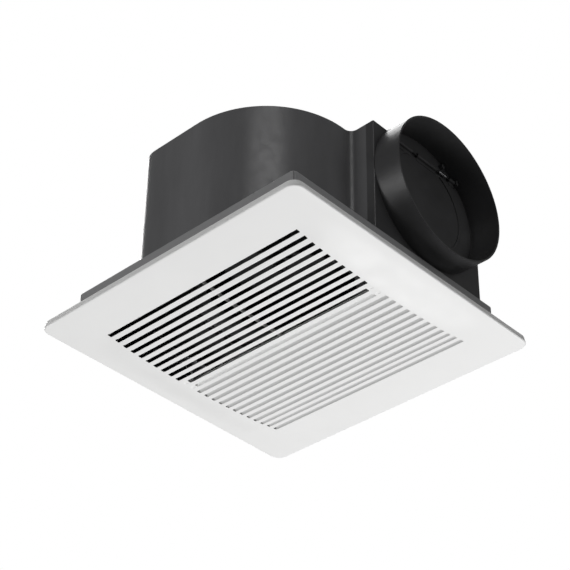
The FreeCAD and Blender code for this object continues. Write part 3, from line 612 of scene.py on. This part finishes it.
# ---- grille panel -------------------------------------------------------------------
PANEL_LOW, PANEL_HIGH = node_box("grille_panel")
HALF = PANEL_HIGH.x
PANEL_CORNER = 11.0
PANEL_WALL = 2.5
RIM_R = 1.6                  # rounding between the face and the sides
RIM_STEPS = 5
SIDE_DRAFT = 1.2             # how far the panel's sides lean in at the ceiling
SIDE_WALL = 2.2
TOP_EASE = 0.3
FOOT_EASE = 0.8              # chamfer between the side and the back of the face
FACE_Z = -7.0
BOW = FACE_Z - PANEL_LOW.z
BOW_REACH = 125.0            # the face is bowed from here to the middle
BOW_FADE_X = (85.0, 125.0)
BOW_FADE_Y = (118.0, 154.0)
SLOT_COUNT = 24
PITCH = 9.66
SLOT_HALF = 118.4            # half the slots' length
SLOT_R = 2.3
FLIP_X = -PITCH              # blades lean towards this line
SHORT_SLOTS = (10, 11)
SHORT_BY = 6.5
BLIND_SLOT = 11              # a groove that doesn't go through
BLIND_LEAN = 0.4
SLATS = (118.92, 117.4)      # half sizes of the slatted field
BLADE_H = 9.0
END_COVER = 2.6              # how far the light half's blades run on past the field
LEAN = math.tan(math.radians(46.0))
CURL_H = 2.44                # height where the blades' curved flanks turn straight
CURL = (0.2, 0.35, 0.75)     # their slope at the face, how it grows, and the slope above CURL_H
LEVELS = (0.0, 0.25, 0.8, 1.6, PANEL_WALL)
BLADE_SINK = 0.1             # how far the blades and the rib run into what they join
BLADE_LEVELS = (PANEL_WALL - BLADE_SINK, 4.5, 6.7, BLADE_H)
BLADE_GAP = 0.02             # between a blade and the slot's wall below it
BLADE_LEAST = 0.3            # least half thickness
EDGE_EASE = 0.25             # rounding of the slots' edges
SIDE_STEPS = 46
ARC_STEPS = 12
SQUARENESS = 5.0             # shape of the slots' ends, 2 is round
DIMPLE_DEPTH = 0.5
DIMPLE_R = (1.1, 2.0)        # its flat floor, and its edge
DIMPLE_RINGS = (0.8, 1.2, 1.6, 2.0, 2.6)
DIMPLE_SIDES = 14
RIB_LOW = 5.0                # how far the rib stands back from the face
RIB_HALF = 0.25
RIB_STEPS = 48
SEAT_LOW = (-9.0, 119.0, -11.7)     # seat of a spring holder
SEAT_HIGH = (9.0, 129.0, -3.5)
RIM_BAND = 5.0               # strip along the panel's edge with no inner points
CORNER_BAND = 6.0
BACK_BAND = 3.0              # how much wider that strip is on the back
SLOT_CLEAR = 1.2             # inner points keep this far from the slots


def fall(value, start, end):
    """Falls smoothly from 1 at start to 0 at end."""
    t = min(max((value - start) / (end - start), 0.0), 1.0)
    return 1.0 - t * t * (3.0 - 2.0 * t)


def face_z(x, y):
    """Height of the panel's face, which bows down in the middle."""
    bow = max(0.0, 1.0 - (x / BOW_REACH) ** 2)
    return FACE_Z - BOW * bow * fall(abs(x), *BOW_FADE_X) * fall(abs(y), *BOW_FADE_Y)


def cove(h):
    """How far a blade's inner flank has curved over at height h."""
    low = min(h, CURL_H)
    slope, growth, straight = CURL
    return slope * low + growth * low * low + straight * (h - low)


def slot_x(i):
    """x of a slot's middle line."""
    return (i - (SLOT_COUNT - 1) / 2) * PITCH


def slot_walls(i, h, widen=0.0):
    """x of a slot's two flanks at height h above the face."""
    left, right = slot_x(i) - SLOT_R - widen, slot_x(i) + SLOT_R + widen
    if slot_x(i) < FLIP_X:
        return left + cove(h), right + h * LEAN
    return left + h * (BLIND_LEAN if i == BLIND_SLOT else -LEAN), right - cove(h)


def slot_end(i):
    """y where a slot's straight flanks stop and its round end starts."""
    return SLOT_HALF - SLOT_R - (SHORT_BY if i in SHORT_SLOTS else 0.0)


def squared(angle):
    """Cosine and sine drawn out towards the corners of a square."""
    c, s = math.cos(angle), math.sin(angle)
    return math.copysign(abs(c) ** (2 / SQUARENESS), c), abs(s) ** (2 / SQUARENESS)


def slot_loop(i, h, widen=0.0):
    """Outline of a slot at height h: up its right flank, over the end, down the left, and round."""
    left, right = slot_walls(i, h, widen)
    end, middle, reach = slot_end(i) + h, (left + right) / 2, (right - left) / 2
    bulge = SLOT_R + widen
    ys = [end * (2 * k / SIDE_STEPS - 1) for k in range(SIDE_STEPS)]
    arc = [squared(math.pi * k / ARC_STEPS) for k in range(ARC_STEPS + 1)]
    loop = [(right, y) for y in ys]
    loop += [(middle + reach * c, end + bulge * s) for c, s in arc]
    loop += [(left, -y) for y in ys[1:]]
    loop += [(middle - reach * c, -end - bulge * s) for c, s in arc[:-1]]
    return loop


def in_slot(x, y, h, margin=0.0):
    """True where a slot is open at height h, or nearer to it than margin."""
    for i in range(SLOT_COUNT):
        left, right = slot_walls(i, h, margin)
        if left < x < right:
            past = max(abs(y) - slot_end(i) - h, 0.0) / (SLOT_R + margin)
            across = (2 * x - left - right) / (right - left)
            if abs(across) ** SQUARENESS + past ** SQUARENESS < 1.0:
                return True
    return False


def dimple(x, y):
    """Shallow round mark beyond each end of the short slots."""
    away = min(math.hypot(x - slot_x(i), abs(y) - SLOT_HALF + SLOT_R) for i in SHORT_SLOTS)
    return DIMPLE_DEPTH * fall(away, *DIMPLE_R)


def dimple_points():
    """Points of the sheet round each dimple."""
    points = []
    angles = [math.tau * k / DIMPLE_SIDES for k in range(DIMPLE_SIDES)]
    for i in SHORT_SLOTS:
        for side in (-1, 1):
            centre = Vector((slot_x(i), side * (SLOT_HALF - SLOT_R)))
            points.append(centre)
            for r in DIMPLE_RINGS:
                points += [centre + Vector((math.cos(a), math.sin(a))) * r for a in angles]
    return points


def rounded_square(half, radius, z, arc=10, side=40):
    """Outline of a square with round corners, with points along its sides too."""
    points = []
    for corner in range(4):
        start = math.pi / 2 * corner
        cx = (half - radius) * (1 if corner in (0, 3) else -1)
        cy = (half - radius) * (1 if corner in (0, 1) else -1)
        for k in range(arc + 1):
            a = start + math.pi / 2 * k / arc
            points.append(Vector((cx + radius * math.cos(a), cy + radius * math.sin(a), z)))
        along = Vector((-math.sin(a), math.cos(a), 0))
        run = 2 * (half - radius)
        points += [points[-1] + along * (run * k / side) for k in range(1, side)]
    return points


def grid_points(keep, reach):
    """Points every half pitch inside reach, where keep says so."""
    step = PITCH / 2
    count = int(reach / step)
    spots = [(a * step, b * step) for a in range(-count, count + 1) for b in range(-count, count + 1)]
    return [Vector(p) for p in spots if keep(*p)]


def sheet(bm, loops, extra, solid, height):
    """Triangulated sheet between its outline and its holes. Returns each loop's vertices."""
    points, edges, starts = [], [], []
    for loop in loops:
        starts.append(len(points))
        points += [Vector(p[:2]) for p in loop]
        edges += [(starts[-1] + k, starts[-1] + (k + 1) % len(loop)) for k in range(len(loop))]
    flat, _, faces, sources, _, _ = delaunay_2d_cdt(points + extra, edges, [], 0, NEAR)
    verts = [bm.verts.new(Vector((p.x, p.y, height(p.x, p.y))) * MM) for p in flat]
    made = {source: verts[k] for k, group in enumerate(sources) for source in group}
    for face in faces:
        middle = sum((flat[k] for k in face), Vector((0, 0))) / len(face)
        if solid(middle.x, middle.y):
            bm.faces.new([verts[k] for k in face])
    return [[made[start + k] for k in range(len(loop))] for start, loop in zip(starts, loops)]


def slot_flanks(bm, i, mouth, top):
    """Walls of one slot through the face's thickness."""
    ring = mouth
    for h in LEVELS[1:-1]:
        outline = [(x, y, face_z(x, y) + h) for x, y in slot_loop(i, h)]
        ring = band(bm, ring, ring_of(bm, outline))
    band(bm, ring, top)


def blade_outline(left_slot, right_slot):
    """Section (x, height) of the blade between two slots; None stands for the field's edge."""
    lefts, rights = [], []
    for h in BLADE_LEVELS:
        left = -SLATS[0] if left_slot is None else slot_walls(left_slot, h)[1] + BLADE_GAP
        right = SLATS[0] if right_slot is None else slot_walls(right_slot, h)[0] - BLADE_GAP
        middle = max(min((left + right) / 2, SLATS[0]), -SLATS[0])
        lefts.append((min(left, middle - BLADE_LEAST), h))
        rights.append((max(right, middle + BLADE_LEAST), h))
    return lefts + rights[::-1]


def blade(bm, left_slot, right_slot):
    """Upper part of a blade, between two open slots, as a bar along the field."""
    outline = blade_outline(left_slot, right_slot)
    reach = SLATS[1] + (END_COVER if left_slot is not None and left_slot > BLIND_SLOT else 0.0)
    rings = []
    for k in range(SIDE_STEPS + 1):
        y = reach * (2 * k / SIDE_STEPS - 1)
        rings.append([(x, y, face_z(x, y) + h) for x, h in outline])
    loft(bm, rings)


def side_profile():
    """Rounded edge, outer wall, top and inner wall of the panel, as (inset, z)."""
    angles = [math.pi / 2 * k / RIM_STEPS for k in range(1, RIM_STEPS + 1)]
    profile = [(RIM_R * (1 - math.sin(a)), FACE_Z + RIM_R * (1 - math.cos(a))) for a in angles]
    inner, foot = SIDE_DRAFT + SIDE_WALL, FACE_Z + PANEL_WALL
    profile += [(SIDE_DRAFT / 2, FACE_Z / 2), (SIDE_DRAFT, -TOP_EASE), (SIDE_DRAFT + TOP_EASE, 0.0)]
    profile += [(inner - TOP_EASE, 0.0), (inner, -TOP_EASE)]
    return profile + [(inner, foot + FOOT_EASE), (inner + FOOT_EASE, foot)]


def panel_side(bm, rim):
    """Sides of the panel, up from its rim. Returns the foot of their inner wall."""
    ring = rim
    for inset, z in side_profile():
        ring = band(bm, ring, ring_of(bm, rounded_square(HALF - inset, PANEL_CORNER - inset, z)))
    return ring


def box_piece(bm, low, high, cut=0.4):
    """Box with chamfered edges."""
    rings = []
    for z, inset in ((low[2], cut), (low[2] + cut, 0), (high[2] - cut, 0), (high[2], cut)):
        x0, x1, y0, y1 = low[0] + inset, high[0] - inset, low[1] + inset, high[1] - inset
        rings.append([(x0 + cut, y0, z), (x1 - cut, y0, z), (x1, y0 + cut, z), (x1, y1 - cut, z),
                      (x1 - cut, y1, z), (x0 + cut, y1, z), (x0, y1 - cut, z), (x0, y0 + cut, z)])
    loft(bm, rings)


def grille_rib(bm):
    """Thin rib across the blades."""
    rings = []
    for k in range(RIB_STEPS + 1):
        x = SLATS[0] * (2 * k / RIB_STEPS - 1)
        face = face_z(x, 0)
        low, high = face + RIB_LOW, face + BLADE_H - BLADE_SINK
        rings.append([(x, -RIB_HALF, low), (x, RIB_HALF, low), (x, RIB_HALF, high), (x, -RIB_HALF, high)])
    loft(bm, rings)


def spring_seats(bm):
    """Blocks behind the face that the spring holders stand on."""
    for side in (-1, 1):
        y0, y1 = sorted((side * SEAT_LOW[1], side * SEAT_HIGH[1]))
        box_piece(bm, (SEAT_LOW[0], y0, SEAT_LOW[2]), (SEAT_HIGH[0], y1, SEAT_HIGH[2]))


def inner_points(edge, h):
    """Points for a sheet of the panel at height h, clear of its edge, its slots and the dimples."""
    def free(x, y):
        near, far = sorted((abs(x), abs(y)))
        inside = far < edge and near < edge - CORNER_BAND
        return inside and not in_slot(x, y, h, SLOT_CLEAR) and not (h == 0.0 and dimple(x, y))

    return grid_points(free, HALF - RIM_BAND)


def face_sheet(bm):
    """The panel's face. Returns the vertices of its rim and of each slot's mouth."""
    rim = rounded_square(HALF - RIM_R, PANEL_CORNER - RIM_R, FACE_Z)
    mouths = [slot_loop(i, 0.0, EDGE_EASE) for i in range(SLOT_COUNT)]
    extra = inner_points(HALF - RIM_BAND, 0.0) + dimple_points()
    return sheet(bm, [rim] + mouths, extra, lambda x, y: not in_slot(x, y, 0.0, EDGE_EASE),
                 lambda x, y: face_z(x, y) + dimple(x, y))


def back_sheet(bm, foot):
    """The back of the face. Returns the vertices of its outline and of each slot."""
    outline = [tuple(v.co / MM) for v in foot]
    tops = [slot_loop(i, PANEL_WALL) for i in range(SLOT_COUNT)]
    extra = inner_points(HALF - RIM_BAND - BACK_BAND, PANEL_WALL)
    return sheet(bm, [outline] + tops, extra, lambda x, y: not in_slot(x, y, PANEL_WALL),
                 lambda x, y: face_z(x, y) + PANEL_WALL)


def make_grille():
    """The grille's moulding: face, sides, slots, blades, rib and the seats of the springs."""
    bm = bmesh.new()
    front = face_sheet(bm)
    back = back_sheet(bm, panel_side(bm, front[0]))
    for i in range(SLOT_COUNT):
        slot_flanks(bm, i, front[i + 1], back[i + 1])
    bmesh.ops.remove_doubles(bm, verts=bm.verts, dist=WELD)
    through = [None] + [i for i in range(SLOT_COUNT) if i != BLIND_SLOT] + [None]
    for left_slot, right_slot in zip(through, through[1:]):
        blade(bm, left_slot, right_slot)
    grille_rib(bm)
    spring_seats(bm)
    bmesh.ops.delete(bm, geom=[v for v in bm.verts if not v.link_faces], context="VERTS")
    return place(to_object("grille_moulding", bm), "grille_panel", sharp=50.0)


# ---- springs ------------------------------------------------------------------------
SPRING_Y = 123.0             # distance of each V spring from the middle
SPRING_Z = 2.0
SPRING_ANGLE = math.radians(64.0)    # leg's angle from vertical
SPRING_LEG = 60.0
SPRING_HOOK = 5.0
LEG_BEND = 2.0
LEG_OFFSET = 2.5             # the two legs leave the coil's two ends
LEG_STOPS = (4.0, 5.0, 20.0, 40.0)   # places of the leg's rings along it
WIRE_R = 1.0
COIL_R, COIL_TURNS, COIL_LENGTH = 2.8, 3.6, 7.2
COIL_SLACK = 0.05            # keeps the coil's wire inside its CAD solid
FLAP_WIRE_R, FLAP_COIL_R, FLAP_TURNS = 0.4, 1.7, 9.0
FLAP_LEG = (-0.5, 4.0)       # heights of the leg's foot and middle above the pin


def make_coils():
    """Coils of the two V springs."""
    bm = bmesh.new()
    for side in (-1, 1):
        middle = (0, side * SPRING_Y, SPRING_Z)
        wire(bm, helix(middle, (0, 1, 0), COIL_R, COIL_TURNS, COIL_LENGTH), WIRE_R - COIL_SLACK)
    return place(to_object("wound_coils", bm), "spring_coils", sharp=60.0)


def leg_path(side, y, outward):
    """Leg that leans to one side, with its hooked end."""
    lean = Vector((side * math.sin(SPRING_ANGLE), 0, math.cos(SPRING_ANGLE)))
    centre, hook = Vector((0, y, SPRING_Z)), Vector((0, outward, 0))
    points = [centre + lean * d for d in (*LEG_STOPS, SPRING_LEG - LEG_BEND)]
    corner = centre + lean * (SPRING_LEG - LEG_BEND) + hook * LEG_BEND
    for k in range(1, 9):
        a = math.pi / 2 * k / 8
        points.append(corner + lean * (LEG_BEND * math.sin(a)) - hook * (LEG_BEND * math.cos(a)))
    points.append(centre + lean * SPRING_LEG + hook * SPRING_HOOK)
    return points


def make_legs(node, side):
    """The legs of both springs that lean to one side."""
    bm = bmesh.new()
    for outward in (-1, 1):
        wire(bm, leg_path(side, outward * SPRING_Y + side * LEG_OFFSET, outward), WIRE_R)
    return place(to_object(node + "_wire", bm), node, sharp=60.0)


def make_flap_spring():
    """Light spring wound round the flap's pin, with one leg up."""
    low, high = node_box("flap_spring")
    pin_low, pin_high = node_box("flap_pin")
    axis_y, axis_z = (pin_low.y + pin_high.y) / 2, (pin_low.z + pin_high.z) / 2
    bm = bmesh.new()
    middle = ((low.x + high.x) / 2, axis_y, axis_z)
    length = high.x - low.x - 3 * FLAP_WIRE_R
    wire(bm, helix(middle, (1, 0, 0), FLAP_COIL_R, FLAP_TURNS, length, per_turn=14), FLAP_WIRE_R, 8)
    leg_x, leg_y = high.x - 1.5 * FLAP_WIRE_R, axis_y + 4 * FLAP_WIRE_R
    stops = (axis_z + FLAP_LEG[0], axis_z + FLAP_LEG[1], high.z)
    wire(bm, [(leg_x, leg_y, z) for z in stops], FLAP_WIRE_R, 8)
    return place(to_object("flap_return_spring", bm), "flap_spring", sharp=60.0)


# ---- screws -------------------------------------------------------------------------
SCREW_NODES = ("capacitor_screws", "catch_screws", "cord_clamp_screws", "cover_screws", "housing_screws",
               "inlet_screws", "lead_clip_screw", "motor_screws", "motor_tie_screws",
               "spring_holder_screws", "terminal_screws", "wiring_box_screws", "wiring_box_cover_screws")
SCREW_SIDES = 28
# rings of a screw's head, as shares of its radius and height
HEAD = ((0.62, 0.0), (0.84, 0.12), (0.97, 0.4), (1.0, 0.65), (1.0, 1.0))
HEAD_LEAST = 0.8             # least height of a head
NECK, CREST, ROOT, TIP = 0.86, 1.0, 0.8, 0.5    # shares of the shank's radius
THREAD = 0.45                # half the thread's pitch, as a share of the shank's radius
ARM_LENGTH, ARM_WIDTH = 0.46, 0.11               # cross recess, as shares of the head's radius
RECESS_DEPTH = 0.6           # as a share of the head's height
RECESS_FLOOR = (0.72, 0.8)   # the recess's floor in its two directions, as shares of its mouth
HEAD_EDGE, AXIS_ZONE = 0.97, 0.2    # a CAD head's edge and middle, as shares of its radius


def screw_shape(points):
    """Where one screw is: its head's middle, the way into the work, radii, head height, length."""
    low = Vector([min(p[k] for p in points) for k in range(3)])
    high = Vector([max(p[k] for p in points) for k in range(3)])
    size, middle = high - low, (low + high) / 2
    along = min(range(3), key=lambda k: abs(size[(k + 1) % 3] - size[(k + 2) % 3]))
    axis = Vector([1.0 if k == along else 0.0 for k in range(3)])

    def radius(p):
        off = Vector(p) - middle
        return (off - axis * off.dot(axis)).length

    head_r = max(radius(p) for p in points)
    wide = [p[along] for p in points if radius(p) > head_r * HEAD_EDGE]
    shank_r = min(radius(p) for p in points if radius(p) > head_r * AXIS_ZONE)
    head_h = max(max(wide) - min(wide), HEAD_LEAST)
    outward = axis if sum(wide) / len(wide) > middle[along] else -axis
    top = middle + outward * (size[along] / 2)
    return top, -outward, head_r, shank_r, head_h, size[along]


def cross_points(r, arm):
    """Outline of a cross recess."""
    quarter = [(r, -arm), (r, arm), (arm, arm)]
    points = []
    for c, s in ((1, 0), (0, 1), (-1, 0), (0, -1)):
        points += [(x * c - y * s, x * s + y * c) for x, y in quarter]
    return points


def thread_rings(shank_r, head_h, length):
    """Radius and depth of each ring from the neck to the tip."""
    turn = shank_r * THREAD
    rings = [(shank_r * NECK, head_h)]
    depth = head_h + turn
    while depth < length - turn:
        rings.append((shank_r * (ROOT if len(rings) % 2 else CREST), depth))
        depth += turn
    return rings + [(shank_r * TIP, length)]


def recessed_face(bm, rim, mouth, rim_spots, recess, arms):
    """Flat top of a head round its cross recess."""
    sides, count = len(rim), len(mouth)
    edges = [(k, (k + 1) % sides) for k in range(sides)]
    edges += [(sides + k, sides + (k + 1) % count) for k in range(count)]
    spots = [Vector(p) for p in rim_spots + recess]
    _, _, faces, sources, _, _ = delaunay_2d_cdt(spots, edges, [], 0, NEAR)
    verts = rim + mouth
    for face in faces:
        corners = [sources[k][0] for k in face]
        middle = sum((spots[c] for c in corners), Vector((0, 0))) / len(corners)
        if max(map(abs, middle)) > arms[0] or min(map(abs, middle)) > arms[1]:
            bm.faces.new([verts[c] for c in corners])


def add_screw(bm, points):
    """One cross-head screw in the place of a CAD solid."""
    top, inward, head_r, shank_r, head_h, length = screw_shape(points)
    side = inward.orthogonal().normalized()
    other = inward.cross(side)

    def ring(spots, depth):
        return ring_of(bm, [top + side * x + other * y + inward * depth for x, y in spots])

    angles = [math.tau * k / SCREW_SIDES for k in range(SCREW_SIDES)]
    circle = [(math.cos(a), math.sin(a)) for a in angles]
    sizes = [(head_r * r, head_h * depth) for r, depth in HEAD]
    sizes += thread_rings(shank_r, head_h, length)
    rings = [ring([(x * r, y * r) for x, y in circle], depth) for r, depth in sizes]
    for first, second in zip(rings, rings[1:]):
        band(bm, first, second)
    bm.faces.new(rings[-1])
    arms = (head_r * ARM_LENGTH, head_r * ARM_WIDTH)
    recess = cross_points(*arms)
    mouth = ring(recess, 0.0)
    narrow, thin = RECESS_FLOOR
    floor = ring([(x * narrow, y * thin) for x, y in recess], head_h * RECESS_DEPTH)
    band(bm, mouth, floor)
    bm.faces.new(floor)
    rim = [(x * sizes[0][0], y * sizes[0][0]) for x, y in circle]
    recessed_face(bm, rings[0], mouth, rim, recess, arms)


def make_screws(node):
    """A node's screws, in one piece."""
    bm = bmesh.new()
    for points in islands(node):
        add_screw(bm, points)
    return place(to_object(node + "_driven", bm), node, sharp=40.0)


# ---- leads --------------------------------------------------------------------------
FAN_AXIS = Vector((*joint_at("impeller_spin").xy, 0))
BOX_CENTRE = Vector((111, 111, 0))
CAPACITOR_CENTRE = Vector((FAN_AXIS.x, 92, 0))
LEAD_R = 2.3
LEAD_Z = 162.8
LEAD_START = 31.0            # from the fan's axis, just inside the motor's cap
# where each lead ends or turns down, the radius of its bend and the height of its end
MOTOR_LEAD = (152.0, 18.0, 72.0)
CAPACITOR_LEAD = (83.0, 0.0, LEAD_Z)


def lead_run(target, turn, bend, end_z):
    """Path of a lead from the motor towards target, and down past turn when there is a bend."""
    out = (target - FAN_AXIS).normalized()
    level = FAN_AXIS + Vector((0, 0, LEAD_Z))
    if not bend:
        return [level + out * (LEAD_START + (turn - LEAD_START) * k / 6) for k in range(7)]
    points = [level + out * (LEAD_START + (turn - bend - LEAD_START) * k / 8) for k in range(9)]
    centre = level + out * (turn - bend) - Vector((0, 0, bend))
    for k in range(1, 11):
        a = math.pi / 2 * k / 10
        points.append(centre + out * (bend * math.sin(a)) + Vector((0, 0, bend * math.cos(a))))
    foot = Vector((points[-1].x, points[-1].y, end_z))
    points += [points[-1].lerp(foot, k / 6) for k in range(1, 7)]
    return points


def make_lead(node, target, run):
    """A sheathed lead along its run."""
    bm = bmesh.new()
    wire(bm, lead_run(target, *run), LEAD_R, 20)
    return place(to_object(node + "_sheath", bm), node, sharp=60.0)


# ---- shells -------------------------------------------------------------------------
# node and the rounding of its edges
SHELLS = {
    "base_frame": 0.5, "ceiling_flange": 0.4, "wiring_box": 0.4, "wiring_box_cover": 0.4,
    "run_capacitor": 0.4, "spring_catches": 0.25, "spring_holders": 0.15, "terminal_block": 0.4,
    "cord_clamp": 0.4, "lead_clip": 0.2, "cable_grommet": 0.3, "inlet_ring": 0.25, "lead_grommet": 0.2,
}


def paint_nodes():
    """Gives every CAD node its material."""
    for name, node in NODES.items():
        for slot in node.material_slots:
            slot.material = look_of(name)


def make_studio():
    """Camera, lights, backdrop and floor."""
    make_camera()
    make_world()
    for spec in LIGHTS:
        make_light(*spec)
    make_floor()


def main():
    """Builds the scene around the CAD model."""
    paint_nodes()
    make_studio()
    make_grille()
    make_coils()
    make_legs("spring_legs_left", -1)
    make_legs("spring_legs_right", 1)
    make_flap_spring()
    for node in SCREW_NODES:
        make_screws(node)
    make_lead("motor_lead", BOX_CENTRE, MOTOR_LEAD)
    make_lead("capacitor_lead", CAPACITOR_CENTRE, CAPACITOR_LEAD)
    for node, width in SHELLS.items():
        refined(node, width)


main()
